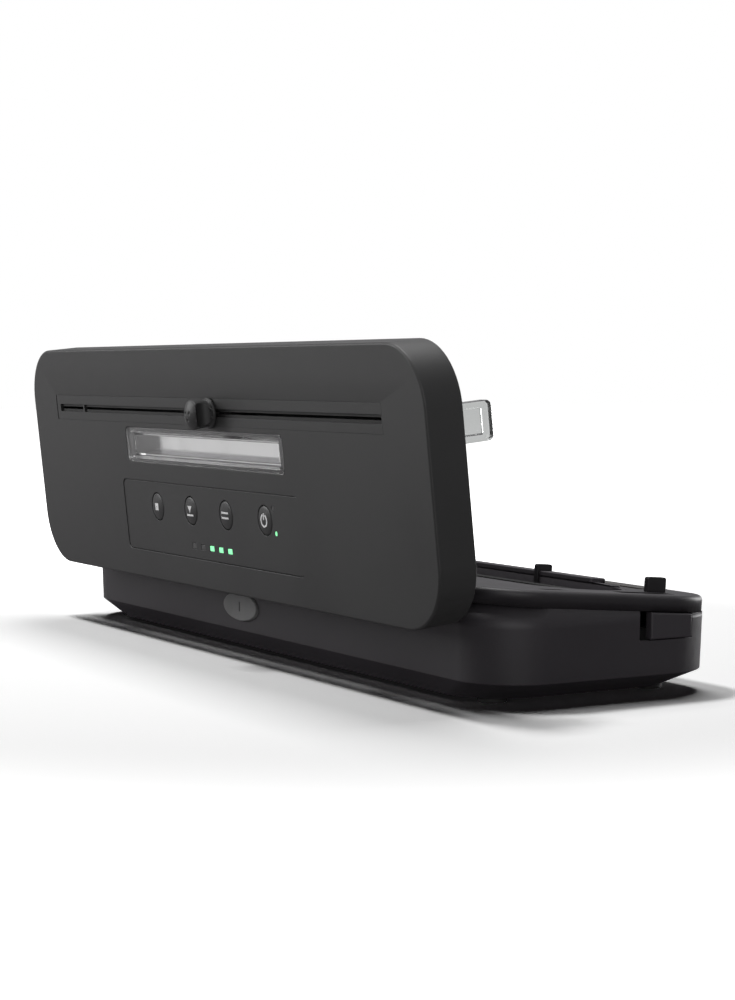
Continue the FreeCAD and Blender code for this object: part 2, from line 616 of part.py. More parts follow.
def control_panel():
    half, y0, y1 = PANEL
    panel = slab(half, y0, y1, 3.0, -PANEL_SINK - PANEL_T, -PANEL_SINK)
    panel = soften(panel, 0.3, lambda e: level(e, -PANEL_SINK))
    for x in KEY_X.values():
        panel = panel.cut(cylinder(KEY_R + 0.35, 5, x, KEY_L, -4))
    for x in LIGHT_X:
        half_x, half_y = LIGHT_HALF[0] + 0.1, LIGHT_HALF[1] + 0.1
        panel = panel.cut(box(x - half_x, x + half_x, LIGHT_L - half_y, LIGHT_L + half_y, -4, 1))
    for x, y in MODE_LIGHTS:
        panel = panel.cut(cylinder(1.1, 5, x, y, -4))
    return panel


BOARD_Z = -8.6
BOARD_T = 1.4
KEY_TRAVEL = 0.8
KEY_RISE = 0.6


def key_button(x):
    """Domed push button with a retaining flange under the panel."""
    face = -PANEL_SINK + KEY_RISE
    skirt = -PANEL_SINK - PANEL_T - 0.4
    body = cylinder(KEY_R, face - 0.7 - skirt, x, KEY_L, skirt)
    dome_r = (KEY_R ** 2 + 0.7 ** 2) / (2 * 0.7)
    dome = Part.makeSphere(dome_r, V(x, KEY_L, face - dome_r))
    body = body.fuse(dome.common(cylinder(KEY_R, 0.9, x, KEY_L, face - 0.8)))
    body = body.fuse(cylinder(KEY_R + 0.9, 0.8, x, KEY_L, skirt - 0.8))
    return body.fuse(cylinder(1.6, 0.9, x, KEY_L, skirt - 1.6)).removeSplitter()


def key_switches():
    stem_top = -PANEL_SINK - PANEL_T - 0.4 - 1.6 - KEY_TRAVEL - 0.1
    switches = []
    for x in KEY_X.values():
        switch = box(x - 3, x + 3, KEY_L - 3, KEY_L + 3, BOARD_Z + BOARD_T, stem_top - 0.6)
        switches.append(switch.fuse(cylinder(1.7, 0.6, x, KEY_L, stem_top - 0.6)).removeSplitter())
    return Part.Compound(switches)


def control_board():
    board = box(-80, 80, 14.5, 44.5, BOARD_Z, BOARD_Z + BOARD_T)
    board = board.fuse(box(-40, -25, 20, 26, BOARD_Z - 2.5, BOARD_Z))
    return board.fuse(box(20, 34, 24, 38, BOARD_Z - 1.5, BOARD_Z))


def lights(places, square):
    posts = []
    top = -PANEL_SINK - 0.1
    for x, y in places:
        if square:
            half_x, half_y = LIGHT_HALF
            posts.append(box(x - half_x, x + half_x, y - half_y, y + half_y, BOARD_Z + BOARD_T, top))
        else:
            posts.append(cylinder(1.0, top - BOARD_Z - BOARD_T, x, y, BOARD_Z + BOARD_T))
    return Part.Compound(posts)


def cutter_rail():
    half, y0, y1 = RAIL
    rail = slab(half, y0, y1, 0.5, -1.9, 0)
    x0, x1, cut0, cut1 = SLOT_CUT
    rail = rail.cut(slab_at(x0, x1, cut0, cut1, 0.5, -RAIL_FLOOR, 1))
    rail = rail.cut(box(x0, x1, KNOB_L - NECK_T / 2 - 0.15, KNOB_L + NECK_T / 2 + 0.15, -3, 1))
    rail = rail.fuse(box(RAIL_STOP_X - 0.8, RAIL_STOP_X + 0.8, cut0 - 0.1, cut1 + 0.1, -1.9, -0.2))
    return rail.removeSplitter()


BODY_R = 6.3
FOOT_DISC = (0.35, 1.75)          # bottom and top of the knob's foot disc
SCOOP = (4.2, 2.8, 5.5)           # radius, depth and height of the finger scoops


def cutter_knob():
    """Grip of the bag cutter: domed, with three dimples, a finger scoop on each side and a foot disc."""
    low, shelf = FOOT_DISC
    rim = KNOB_H - CAP_RISE

    def at(radius, z):
        return V(KNOB_X + radius, KNOB_L, z)

    dome_mid = KNOB_H - DOME_R + math.sqrt(DOME_R ** 2 - (CAP_R / 2) ** 2)
    profile = [Part.makeLine(at(0, low), at(KNOB_R, low)),
               Part.makeLine(at(KNOB_R, low), at(KNOB_R, shelf - 0.4)),
               Part.makeLine(at(KNOB_R, shelf - 0.4), at(KNOB_R - 0.4, shelf)),
               Part.makeLine(at(KNOB_R - 0.4, shelf), at(BODY_R - 0.6, shelf)),
               Part.makeLine(at(BODY_R - 0.6, shelf), at(CAP_R, rim)),
               Part.Arc(at(CAP_R, rim), at(CAP_R / 2, dome_mid), at(0, KNOB_H)).toShape(),
               Part.makeLine(at(0, KNOB_H), at(0, low))]
    grip = Part.Face(Part.Wire(profile)).revolve(V(KNOB_X, KNOB_L, 0), V(0, 0, 1), 360)
    radius, depth, height = SCOOP
    above_disc = box(KNOB_X - 20, KNOB_X + 20, KNOB_L - 20, KNOB_L + 20, shelf + 0.05, KNOB_H)
    for side in (-1, 1):
        x = KNOB_X + side * (BODY_R + radius - depth)
        scoop = cylinder(radius, 4 * KNOB_R, x, KNOB_L - 2 * KNOB_R, height, (0, 1, 0))
        grip = grip.cut(scoop.common(above_disc))
    for angle in (30, 150, 270):
        a = math.radians(angle)
        centre = V(KNOB_X + 2.0 * math.cos(a), KNOB_L + 2.0 * math.sin(a), KNOB_H + 0.5)
        grip = grip.cut(Part.makeSphere(1.1, centre))
    for y in (-1.8, 1.8):
        ridge = box(KNOB_X + BODY_R - depth - 0.5, KNOB_X + KNOB_R - 0.7, KNOB_L + y - 0.4, KNOB_L + y + 0.4,
                    low, shelf + 0.6)
        grip = grip.fuse(ridge)
    neck = box(KNOB_X - 4, KNOB_X + 4, KNOB_L - NECK_T / 2, KNOB_L + NECK_T / 2, -2.9, low)
    return grip.fuse(neck).removeSplitter()


def cutter_carriage():
    body = slab_at(KNOB_X - 8, KNOB_X + 8, KNOB_L - 4.6, KNOB_L + 4.6, 1.5, -5.4, -2.9)
    low = -LID_T + PLATE_T + 0.4
    holder = box(KNOB_X - 6, KNOB_X + 6, KNOB_L - 1.0, KNOB_L + 1.0, low, -5.4)
    slit = box(KNOB_X - 5.1, KNOB_X + 5.1, KNOB_L - BLADE_T / 2, KNOB_L + BLADE_T / 2, low - 1, low + 4)
    return body.fuse(holder).cut(slit).removeSplitter()


def cutter_blade():
    """Thin blade with two slanted edges, so that it cuts both ways."""
    side = KNOB_L - BLADE_T / 2
    top = -LID_T + PLATE_T + 4.4
    shoulder = -LID_T + 0.6
    points = [V(KNOB_X - 5, side, top), V(KNOB_X + 5, side, top), V(KNOB_X + 5, side, shoulder),
              V(KNOB_X, side, -LID_T - 2.0), V(KNOB_X - 5, side, shoulder)]
    return Part.Face(Part.makePolygon(points + points[:1])).extrude(V(0, BLADE_T, 0))


def latch_hook():
    """Clear hook at the lid's user-left end; the lid frame's positive x is the user's left."""
    body = box(*HOOK_X, *HOOK_L, -LID_T - HOOK_H, -LID_T)
    ends = [e for e in body.Edges if level(e, -LID_T - HOOK_H) and abs(e.Vertexes[0].X - e.Vertexes[1].X) > 1]
    body = body.makeFillet(2.2, ends)
    recess = box(HOOK_X[0] - 1, HOOK_X[0] + 1.8, HOOK_L[0] + 2.6, HOOK_L[1] - 2.6,
                 -LID_T - HOOK_H + 3.4, -LID_T + 1)
    return body.cut(recess)


nodes["lid_cover"] = on_lid(lid_cover())
nodes["lid_inner_plate"] = on_lid(lid_inner_plate())
nodes["window_lens"] = on_lid(window_lens())
nodes["control_panel"] = on_lid(control_panel())
nodes["control_board"] = on_lid(control_board().removeSplitter())
nodes["key_switches"] = on_lid(key_switches())
nodes["status_lights"] = on_lid(lights([(x, LIGHT_L) for x in LIGHT_X], True))
nodes["mode_lights"] = on_lid(lights(MODE_LIGHTS, False))
for name, x in KEY_X.items():
    nodes[name] = on_lid(key_button(x))
nodes["cutter_rail"] = on_lid(cutter_rail())
nodes["cutter_knob"] = on_lid(cutter_knob())
nodes["cutter_carriage"] = on_lid(cutter_carriage())
nodes["cutter_blade"] = on_lid(cutter_blade())
nodes["upper_gasket"] = on_lid(upper_gasket())
strip = slab(BAR_W / 2, *STRIP, 0.8, -LID_T - 0.1, -LID_T + 2.0)
nodes["press_strip"] = on_lid(strip)
nodes["latch_hook_left"] = on_lid(latch_hook())
nodes["latch_hook_right"] = on_lid(latch_hook().mirror(V(0, 0, 0), V(1, 0, 0)))
nodes["lid_screws"] = on_lid(Part.Compound([screw(x, y, -LID_T + 0.3, 8.0) for x, y in LID_SCREWS]))


# ---- write one file a node -----------------------------------------------------------------------
def main():
    os.makedirs("parts", exist_ok=True)
    whole = FreeCAD.BoundBox()
    for name, shape in nodes.items():
        placed = shape.copy()
        placed.translate(V(0, -ORIGIN_Y, 0))
        solids = placed.Solids
        bad = [s for s in solids if not s.isValid()]
        if bad or not solids:
            print("problem in", name, len(solids), "solids", len(bad), "invalid")
        out = solids[0] if len(solids) == 1 else Part.Compound(solids)
        out.exportStep("parts/%s.step" % name)
        whole.add(placed.BoundBox)
    print(len(nodes), "nodes; box", [round(v, 3) for v in (whole.XMin, whole.YMin, whole.ZMin, whole.XMax,
                                                          whole.YMax, whole.ZMax)])
    print("hinge at y %.3f z %.3f, swing %.3f" % (PIVOT.y - ORIGIN_Y, PIVOT.z, SWING))
    print("lid out", LID_OUT, "lid up", LID_UP, "origin shift", round(ORIGIN_Y, 3))


main()
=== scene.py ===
"""Looks for a countertop bag sealer, standing on a plain pale floor with its lid open."""
import bmesh
import bpy
import json
import math
from mathutils import Matrix, Vector

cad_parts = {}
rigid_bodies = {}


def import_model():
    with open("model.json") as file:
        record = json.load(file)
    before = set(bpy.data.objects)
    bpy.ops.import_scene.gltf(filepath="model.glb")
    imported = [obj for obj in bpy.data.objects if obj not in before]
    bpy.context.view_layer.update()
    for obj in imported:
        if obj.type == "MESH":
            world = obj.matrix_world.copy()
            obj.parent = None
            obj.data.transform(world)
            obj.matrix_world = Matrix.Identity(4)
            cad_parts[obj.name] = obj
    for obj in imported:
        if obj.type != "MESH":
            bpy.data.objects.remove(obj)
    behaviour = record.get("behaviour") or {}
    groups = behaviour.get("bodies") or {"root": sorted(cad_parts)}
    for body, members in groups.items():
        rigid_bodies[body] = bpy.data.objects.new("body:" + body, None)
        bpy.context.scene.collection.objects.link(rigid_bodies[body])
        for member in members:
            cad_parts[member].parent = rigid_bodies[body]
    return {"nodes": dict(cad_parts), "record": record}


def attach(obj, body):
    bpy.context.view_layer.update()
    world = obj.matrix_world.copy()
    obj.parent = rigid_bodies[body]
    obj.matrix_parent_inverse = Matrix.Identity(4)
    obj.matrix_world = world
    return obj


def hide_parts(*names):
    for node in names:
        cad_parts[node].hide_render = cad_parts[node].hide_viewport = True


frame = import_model()
NODES = frame["nodes"]
BODY_OF = {n: b for b, ns in frame["record"]["behaviour"]["bodies"].items() for n in ns}
SLOT_OF = {s["node"]: s["material_slot"] for s in frame["record"]["subparts"]}
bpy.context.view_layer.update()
scene = bpy.context.scene
MM = 0.001

# ---- the part's own local frames, in millimetres ---------------------------------------------
ORIGIN_Y = 19.593
LID_EDGE = Vector((0, 74.6 - ORIGIN_Y, 29.5))
LEAN = math.radians(6.0)
UP = Vector((0, math.sin(LEAN), math.cos(LEAN)))
OUT = Vector((0, math.cos(LEAN), -math.sin(LEAN)))
TILT = math.atan(0.081)
DECK_Z = 41.7


def columns(x, y, z, origin):
    m = Matrix((x, y, z)).transposed().to_4x4()
    m.translation = origin
    return Matrix.Scale(MM, 4) @ m


LID = columns(Vector((-1, 0, 0)), UP, OUT, LID_EDGE)
DECK = columns(Vector((1, 0, 0)), Vector((0, math.cos(TILT), math.sin(TILT))),
               Vector((0, -math.sin(TILT), math.cos(TILT))), Vector((0, -ORIGIN_Y, DECK_Z)))


# ---- materials --------------------------------------------------------------------------------
class Nodes:
    """A new material with short calls for the nodes it is made of."""

    def __init__(self, name):
        self.material = bpy.data.materials.new(name)
        self.material.use_nodes = True
        self.tree = self.material.node_tree
        self.shader = self.tree.nodes["Principled BSDF"]
        self.coords = self.add("ShaderNodeTexCoord").outputs["Object"]

    def add(self, kind, **inputs):
        node = self.tree.nodes.new(kind)
        for key, value in inputs.items():
            node.inputs[key.replace("_", " ")].default_value = value
        return node

    def link(self, a, b):
        self.tree.links.new(a, b)

    def noise(self, scale, detail=3.0, rough=0.5, stretch=None):
        node = self.add("ShaderNodeTexNoise", Scale=scale, Detail=detail, Roughness=rough)
        source = self.coords
        if stretch:
            mapping = self.add("ShaderNodeMapping")
            mapping.inputs["Scale"].default_value = stretch
            self.link(self.coords, mapping.inputs["Vector"])
            source = mapping.outputs["Vector"]
        self.link(source, node.inputs["Vector"])
        return node.outputs["Fac"]

    def ramp(self, fac, low, high, a=0.35, b=0.65):
        node = self.add("ShaderNodeMapRange")
        node.inputs["From Min"].default_value = a
        node.inputs["From Max"].default_value = b
        node.inputs["To Min"].default_value = low
        node.inputs["To Max"].default_value = high
        self.link(fac, node.inputs["Value"])
        return node.outputs["Result"]

    def mix(self, fac, a, b):
        node = self.tree.nodes.new("ShaderNodeMix")
        node.data_type = "RGBA"
        node.inputs[6].default_value = (*a, 1)
        node.inputs[7].default_value = (*b, 1)
        self.link(fac, node.inputs[0])
        return node.outputs[2]

    def bump(self, height, distance):
        node = self.add("ShaderNodeBump", Strength=1.0, Distance=distance)
        self.link(height, node.inputs["Height"])
        return node.outputs["Normal"]

    def set(self, **inputs):
        for key, value in inputs.items():
            self.shader.inputs[key.replace("_", " ")].default_value = value


def grey(level, tint=(1.0, 1.0, 1.0)):
    return tuple(level * t for t in tint)


WARM_BLACK = (1.03, 0.92, 1.06)
TAPE_BROWN = (1.1, 0.95, 0.8)
ACRYLIC_IOR = 1.46


def moulded(name, level, tint=(1.0, 1.0, 1.0), rough=(0.42, 0.5), grain_scale=2600.0):
    """Satin injection-moulded plastic: spark-eroded grain, and faint cloudiness in colour and gloss."""
    n = Nodes(name)
    cloud = n.noise(22.0, 4.0)
    fine = n.noise(grain_scale, 2.0, 0.6)
    n.link(n.mix(n.ramp(cloud, 0, 1), grey(level * 0.93, tint), grey(level * 1.07, tint)),
           n.shader.inputs["Base Color"])
    n.link(n.ramp(cloud, rough[0], rough[1]), n.shader.inputs["Roughness"])
    n.link(n.bump(fine, 0.00004), n.shader.inputs["Normal"])
    n.set(**{"Specular IOR Level": 0.35})
    return n.material


def foam(name, level):
    n = Nodes(name)
    cells = n.add("ShaderNodeTexVoronoi", Scale=1500.0)
    n.link(n.coords, cells.inputs["Vector"])
    pores = cells.outputs["Distance"]
    n.link(n.mix(n.ramp(pores, 0, 1, 0.1, 0.7), grey(level * 0.7), grey(level * 1.4)),
           n.shader.inputs["Base Color"])
    n.link(n.bump(pores, 0.00025), n.shader.inputs["Normal"])
    n.set(Roughness=0.85)
    n.set(**{"Specular IOR Level": 0.2})
    return n.material


def rubber(name, level, rough=0.6, tint=(1, 1, 1)):
    n = Nodes(name)
    cloud = n.noise(60.0, 4.0)
    fine = n.noise(3200.0, 2.0)
    n.link(n.mix(n.ramp(cloud, 0, 1), grey(level * 0.9, tint), grey(level * 1.12, tint)),
           n.shader.inputs["Base Color"])
    n.link(n.ramp(fine, rough - 0.06, rough + 0.08), n.shader.inputs["Roughness"])
    n.link(n.bump(fine, 0.00005), n.shader.inputs["Normal"])
    n.set(**{"Specular IOR Level": 0.35})
    return n.material


def metal(name, colour, rough=0.3, stretch=(1, 60, 60)):
    """Metal with fine drawn or ground lines."""
    n = Nodes(name)
    lines = n.noise(90.0, 3.0, 0.6, stretch)
    worn = tuple(c * 0.88 for c in colour)
    bright = tuple(min(1, c * 1.06) for c in colour)
    n.link(n.mix(n.ramp(lines, 0, 1), worn, bright), n.shader.inputs["Base Color"])
    n.link(n.ramp(lines, rough - 0.07, rough + 0.1), n.shader.inputs["Roughness"])
    n.link(n.bump(lines, 0.00002), n.shader.inputs["Normal"])
    n.set(Metallic=1.0)
    return n.material


def clear(name, tint, rough, flow=0.00002):
    """Clear moulded plastic with a little haze and flow marks."""
    n = Nodes(name)
    cloud = n.noise(70.0, 2.0)
    n.link(n.ramp(cloud, rough * 0.7, rough * 1.4), n.shader.inputs["Roughness"])
    n.link(n.bump(cloud, flow), n.shader.inputs["Normal"])
    n.set(Base_Color=(*tint, 1), IOR=ACRYLIC_IOR)
    n.set(**{"Transmission Weight": 1.0})
    return n.material


def glowing(name, colour, strength):
    n = Nodes(name)
    cloud = n.noise(900.0, 2.0)
    shade = n.mix(n.ramp(cloud, 0, 1), tuple(c * 0.85 for c in colour), colour)
    n.link(shade, n.shader.inputs["Base Color"])
    n.link(shade, n.shader.inputs["Emission Color"])
    n.set(Roughness=0.4)
    n.set(**{"Emission Strength": strength})
    return n.material


def woven(name, level):
    """Coated glass cloth: a fine plain weave under a shiny skin."""
    n = Nodes(name)
    across = n.add("ShaderNodeTexWave", Scale=700.0, Distortion=0.6)
    along = n.add("ShaderNodeTexWave", Scale=700.0, Distortion=0.6)
    along.bands_direction = "Y"
    n.link(n.coords, across.inputs["Vector"])
    n.link(n.coords, along.inputs["Vector"])
    both = n.tree.nodes.new("ShaderNodeMath")
    both.operation = "MULTIPLY"
    n.link(across.outputs["Fac"], both.inputs[0])
    n.link(along.outputs["Fac"], both.inputs[1])
    weave = both.outputs[0]
    n.link(n.mix(weave, grey(level * 0.7, TAPE_BROWN), grey(level * 1.5, TAPE_BROWN)),
           n.shader.inputs["Base Color"])
    n.link(n.bump(weave, 0.00006), n.shader.inputs["Normal"])
    n.set(Roughness=0.38)
    return n.material


def board(name):
    """Solder mask with copper tracks showing through."""
    n = Nodes(name)
    tracks = n.add("ShaderNodeTexBrick", Scale=120.0)
    n.link(n.coords, tracks.inputs["Vector"])
    n.link(n.mix(tracks.outputs["Fac"], (0.02, 0.13, 0.05), (0.05, 0.26, 0.11)),
           n.shader.inputs["Base Color"])
    n.link(n.bump(tracks.outputs["Fac"], 0.00003), n.shader.inputs["Normal"])
    n.set(Roughness=0.35)
    return n.material


MATERIAL = {
    "base_shell": moulded("base_shell", 0.0262, WARM_BLACK),
    "deck_shell": moulded("deck_shell", 0.0175, WARM_BLACK),
    "liner": moulded("liner", 0.032, WARM_BLACK, rough=(0.5, 0.6)),
    "gasket_foam": foam("gasket_foam", 0.02),
    "bar_metal": metal("bar_metal", (0.62, 0.62, 0.64)),
    "heater_metal": metal("heater_metal", (0.5, 0.47, 0.43), 0.35),
    "release_tape": woven("release_tape", 0.03),
    "guide_plastic": moulded("guide_plastic", 0.036, WARM_BLACK, rough=(0.5, 0.6)),
    "tab_plastic": moulded("tab_plastic", 0.0095, WARM_BLACK, rough=(0.45, 0.55)),
    "hinge_plastic": moulded("hinge_plastic", 0.024, rough=(0.5, 0.6)),
    "pin_steel": metal("pin_steel", (0.6, 0.6, 0.61), 0.22),
    "gland_rubber": rubber("gland_rubber", 0.17, 0.55),
    "foot_rubber": rubber("foot_rubber", 0.018, 0.7),
    "screw_steel": metal("screw_steel", (0.55, 0.55, 0.57), 0.28, (20, 20, 1)),
    "motor_steel": metal("motor_steel", (0.5, 0.5, 0.52), 0.3),
    "pump_plastic": moulded("pump_plastic", 0.05),
    "hose_silicone": rubber("hose_silicone", 0.5, 0.35, (1, 0.97, 0.92)),
    "circuit_board": board("circuit_board"),
    "core_iron": metal("core_iron", (0.13, 0.12, 0.11), 0.5, (60, 1, 1)),
    "switch_plastic": moulded("switch_plastic", 0.035),
    "button_plastic": moulded("button_plastic", 0.028, WARM_BLACK),
    "catch_plastic": moulded("catch_plastic", 0.07),
    "spring_steel": metal("spring_steel", (0.55, 0.55, 0.58), 0.25),
    "lid_shell": moulded("lid_shell", 0.026),
    "lid_plate": moulded("lid_plate", 0.022, rough=(0.48, 0.56)),
    "clear_lens": clear("clear_lens", (0.9, 0.9, 0.9), 0.1, flow=0.000002),
    "panel_film": moulded("panel_film", 0.026, grain_scale=3600.0),
    "light_green": glowing("light_green", (0.25, 0.9, 0.42), 1.0),
    "light_small": glowing("light_small", (0.25, 0.85, 0.4), 0.9),
    "key_plastic": moulded("key_plastic", 0.024, rough=(0.36, 0.44)),
    "rail_plastic": moulded("rail_plastic", 0.026),
    # Painted shade: the same rail plastic made near black for the rail's faces sunk inside the slot
    "rail_slot_painted_shade": moulded("rail_slot_painted_shade", 0.007, rough=(0.5, 0.6)),
    "knob_plastic": moulded("knob_plastic", 0.024),
    "blade_steel": metal("blade_steel", (0.7, 0.7, 0.72), 0.18),
    "silicone_strip": rubber("silicone_strip", 0.06, 0.5),
    "clear_hook": clear("clear_hook", (0.86, 0.88, 0.87), 0.1),
    "lamp_off": moulded("lamp_off", 0.07, (1, 1, 1), (0.3, 0.4)),
    "print_ink": moulded("print_ink", 0.8, (1, 1, 1), (0.5, 0.6)),
}


# ---- pieces -----------------------------------------------------------------------------------
def place(name, mesh, body, slot):
    piece = bpy.data.objects.new(name, mesh)
    scene.collection.objects.link(piece)
    mesh.materials.clear()
    mesh.materials.append(MATERIAL[slot])
    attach(piece, body)
    return piece


def weigh(piece):
    """Shade smooth, with flat faces keeping their own normals."""
    for face in piece.data.polygons:
        face.use_smooth = True
    modifier = piece.modifiers.new("normals", "WEIGHTED_NORMAL")
    modifier.weight = 100
    modifier.keep_sharp = True


def middle(edge, local):
    return local.inverted() @ ((edge.verts[0].co + edge.verts[1].co) / 2)


def rail_outline(edge):
    """Edges of the lid round the rail, which lies flush and shows only a hairline."""
    m = middle(edge, LID)
    return 72.3 < m.y < 84.9 and abs(m.x) < 160.6 and m.z > -2.0


def seam(edge):
    """Edges where the two base shells meet."""
    return -6.7 < middle(edge, DECK).z < -6.1


def well_front(edge):
    """Edges along the front of the well, where the rib stands."""
    m = middle(edge, DECK)
    return m.y < -26.2 and m.z > -0.2


def rib_foot(edge):
    return middle(edge, DECK).z < 0.05


KEEP_CRISP = {"lid_cover": rail_outline, "base_lower_shell": seam, "base_top_deck": seam,
              "chamber_liner": well_front, "bag_guide_rib": rib_foot}


SHARP = math.radians(28.0)


def fine_copy(node, width, skip=None):
    """A copy of a CAD node with its sharp edges rounded by width, in millimetres."""
    mesh = NODES[node].data.copy()
    bm = bmesh.new()
    bm.from_mesh(mesh)
    bmesh.ops.remove_doubles(bm, verts=bm.verts, dist=2e-6)
    bmesh.ops.dissolve_limit(bm, angle_limit=math.radians(0.2), verts=bm.verts, edges=bm.edges)
    sharp = [e for e in bm.edges if len(e.link_faces) == 2 and e.calc_face_angle(0) > SHARP]
    if skip:
        sharp = [e for e in sharp if not skip(e)]
    if width > 0:
        bmesh.ops.bevel(bm, geom=sharp, offset=width * MM, segments=2, profile=0.5,
                        affect="EDGES", clamp_overlap=False)
    bm.to_mesh(mesh)
    bm.free()
    piece = place("fine_" + node, mesh, BODY_OF[node], SLOT_OF[node])
    weigh(piece)
    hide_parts(node)
    return piece


PLAIN_EDGE = 0.25
EDGE = {"latch_hook_left": 0.5, "latch_hook_right": 0.5, "window_lens": 0.2, "cutter_blade": 0.0,
        "heating_strip": 0.05, "release_tape": 0.1, "suction_hose": 0.0, "latch_spring_left": 0.0,
        "latch_spring_right": 0.0, "hinge_pins": 0.3, "cutter_rail": 0.06, "status_lights": 0.15,
        "mode_lights": 0.2, "base_screws": 0.1, "lid_screws": 0.1}
for node in NODES:
    fine_copy(node, EDGE.get(node, PLAIN_EDGE), skip=KEEP_CRISP.get(node))


def paint(node, slot, chosen):
    """Give some faces of a lid piece a second material, chosen by their place on the lid."""
    mesh = scene.objects["fine_" + node].data
    mesh.materials.append(MATERIAL[slot])
    back = LID.inverted()
    for face in mesh.polygons:
        if chosen(back @ face.center):
            face.material_index = 1


paint("status_lights", "lamp_off", lambda p: p.x <= -2.0)
paint("mode_lights", "lamp_off", lambda p: p.y >= 34.0)
# The rail's faces sunk below the lid surface take a near-black colour, painted shade in the slot
paint("cutter_rail", "rail_slot_painted_shade", lambda p: p.z < -0.3)


# ---- marks printed on the keys ------------------------------------------------------------------
KEY_X = {"stop_button": -50.5, "vacuum_button": -15.5, "seal_button": 19.4, "mode_button": 55.7}
KEY_L = 34.4
KEY_TOP = 0.3
INK_DEPTH = 0.25
INK_SUNK = 0.005


def plate(bm, points, low, high):
    """A thin plate with the outline points, in the lid's frame, between two heights."""
    lower = [bm.verts.new(LID @ Vector((x, y, low))) for x, y in points]
    upper = [bm.verts.new(LID @ Vector((x, y, high))) for x, y in points]
    bm.faces.new(lower)
    bm.faces.new(list(reversed(upper)))
    for i in range(len(points)):
        j = (i + 1) % len(points)
        bm.faces.new((lower[j], lower[i], upper[i], upper[j]))


def arc_band(cx, cy, radius, width, start, stop, steps=14):
    angles = [math.radians(start + (stop - start) * i / steps) for i in range(steps + 1)]
    outer = [(cx + radius * math.cos(a), cy + radius * math.sin(a)) for a in angles]
    hole = radius - width
    inner = [(cx + hole * math.cos(a), cy + hole * math.sin(a)) for a in reversed(angles)]
    return outer + inner


def rect(cx, cy, wide, tall):
    return [(cx - wide / 2, cy - tall / 2), (cx + wide / 2, cy - tall / 2),
            (cx + wide / 2, cy + tall / 2), (cx - wide / 2, cy + tall / 2)]


def key_marks():
    """Simple signs: a square, an arrow on a line, two bars, and a dial, each about its key's middle."""
    signs = {
        "stop_button": [rect(0, 0, 3.2, 3.2)],
        "vacuum_button": [rect(0, -1.9, 6.0, 0.8), [(-1.9, 2.2), (1.9, 2.2), (0, -0.9)]],
        "seal_button": [rect(0, 1.1, 6.2, 0.8), rect(0, -1.1, 6.2, 0.8)],
        "mode_button": [arc_band(0, 0, 2.9, 0.8, 115, 425), rect(0, 1.7, 0.8, 2.8)],
    }
    for node, outlines in signs.items():
        bm = bmesh.new()
        for outline in outlines:
            points = [(KEY_X[node] - px, KEY_L + py) for px, py in outline]
            plate(bm, points, KEY_TOP - INK_DEPTH, KEY_TOP - INK_SUNK)
        bmesh.ops.recalc_face_normals(bm, faces=bm.faces)
        mesh = bpy.data.meshes.new("mark_" + node)
        bm.to_mesh(mesh)
        bm.free()
        place("mark_" + node, mesh, BODY_OF[node], SLOT_OF[node])
        mesh.materials.clear()
        mesh.materials.append(MATERIAL["print_ink"])
        for face in mesh.polygons:
            face.use_smooth = False


key_marks()


# ---- floor, light and camera --------------------------------------------------------------------
def reach(tree, near, far, high):
    """A value that rises from nothing at near to high at far, by distance from the middle of the floor."""
    coords = tree.nodes.new("ShaderNodeTexCoord")
    length = tree.nodes.new("ShaderNodeVectorMath")
    length.operation = "LENGTH"
    ramp = tree.nodes.new("ShaderNodeMapRange")
    ramp.interpolation_type = "SMOOTHSTEP"
    ramp.inputs["From Min"].default_value = near
    ramp.inputs["From Max"].default_value = far
    ramp.inputs["To Max"].default_value = high
    tree.links.new(coords.outputs["Object"], length.inputs[0])
    tree.links.new(length.outputs["Value"], ramp.inputs["Value"])
    return ramp.outputs["Result"]


def lit_plus(tree, reflect, tint, near, far, high):
    """Diffuse paper with painted light: an emission that rises toward its far edge, standing in for a sweep
    lit from behind.
    """
    diffuse = tree.nodes.new("ShaderNodeBsdfDiffuse")
    diffuse.inputs["Color"].default_value = (reflect, reflect * tint, reflect, 1)
    glow = tree.nodes.new("ShaderNodeEmission")
    tree.links.new(reach(tree, near, far, high), glow.inputs["Strength"])
    both = tree.nodes.new("ShaderNodeAddShader")
    tree.links.new(diffuse.outputs[0], both.inputs[0])
    tree.links.new(glow.outputs[0], both.inputs[1])
    return both.outputs[0]


def floor():
    mesh = bpy.data.meshes.new("floor")
    half = 6.0
    corners = [(-half, -half, 0), (half, -half, 0), (half, half, 0), (-half, half, 0)]
    mesh.from_pydata(corners, [], [(0, 1, 2, 3)])
    obj = bpy.data.objects.new("floor", mesh)
    scene.collection.objects.link(obj)
    material = bpy.data.materials.new("floor")
    material.use_nodes = True
    tree = material.node_tree
    tree.nodes.clear()
    out = tree.nodes.new("ShaderNodeOutputMaterial")
    path = tree.nodes.new("ShaderNodeLightPath")
    through = tree.nodes.new("ShaderNodeMixShader")
    tree.links.new(path.outputs["Is Transmission Ray"], through.inputs[0])
    # Each floor shade carries painted light, a glow that grows with distance from the appliance
    tree.links.new(lit_plus(tree, FLOOR_BOUNCE, 0.97, 0.4, 0.9, 0.3), through.inputs[1])
    tree.links.new(lit_plus(tree, FLOOR_BOUNCE, 0.97, 0.4, 0.9, SEEN_THROUGH), through.inputs[2])
    seen = tree.nodes.new("ShaderNodeMixShader")
    tree.links.new(path.outputs["Is Camera Ray"], seen.inputs[0])
    tree.links.new(through.outputs[0], seen.inputs[1])
    tree.links.new(lit_plus(tree, FLOOR_SEEN, 1.0, 0.25, 0.55, 1.2), seen.inputs[2])
    tree.links.new(seen.outputs[0], out.inputs[0])
    mesh.materials.append(material)


